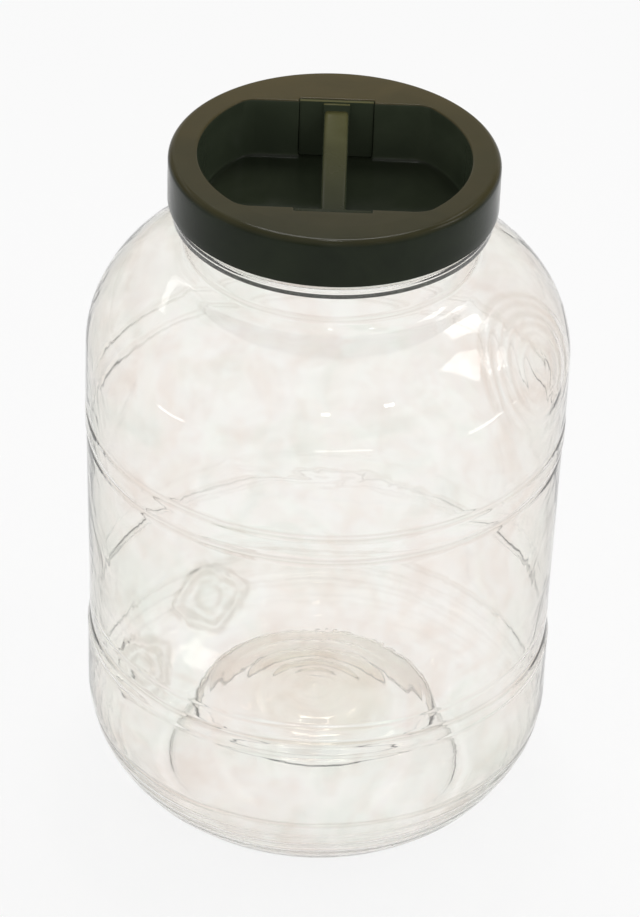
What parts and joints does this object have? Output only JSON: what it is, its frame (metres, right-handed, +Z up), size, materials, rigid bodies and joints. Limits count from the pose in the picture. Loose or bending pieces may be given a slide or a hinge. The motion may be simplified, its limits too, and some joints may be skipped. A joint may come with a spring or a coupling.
{
  "type": "storage jar",
  "caption": "Large clear plastic storage jar with a wide neck and a screw lid; a bar across the deep well in the lid is its grip.",
  "frame": {"origin": "centre of the jar's foot, on the surface it stands on", "axes": "+Z up along the jar's axis, +Y along the grip bar in the lid, +X across it"},
  "size_m": [0.2152, 0.2152, 0.3305],
  "materials": {
    "jar": "clear blow-moulded plastic, glossy, faintly milky",
    "lid": "dark olive moulded plastic, satin",
    "grip": "dark olive moulded plastic, satin, slightly lighter",
    "seal": "off-white soft foam liner"
  },
  "bodies": {
    "jar": {"jar": "jar"},
    "liner": {"sealing_ring": "seal"},
    "lid": {"screw_lid": "lid", "grip_handle": "grip"}
  },
  "joints": [
    {"name": "lid_lift", "type": "slide", "parent": "jar", "child": "liner", "axis": [0, 0, 1], "range_m": [0, 0.0541]},
    {"name": "lid_turn", "type": "hinge", "parent": "liner", "child": "lid", "pos_m": [0, 0, 0.33], "axis": [0, 0, 1], "range_deg": [0, 1080]}
  ],
  "couplings": [
    {"joint": "lid_lift", "follows": "lid_turn", "m_per_rad": 0.0028648}
  ]
}
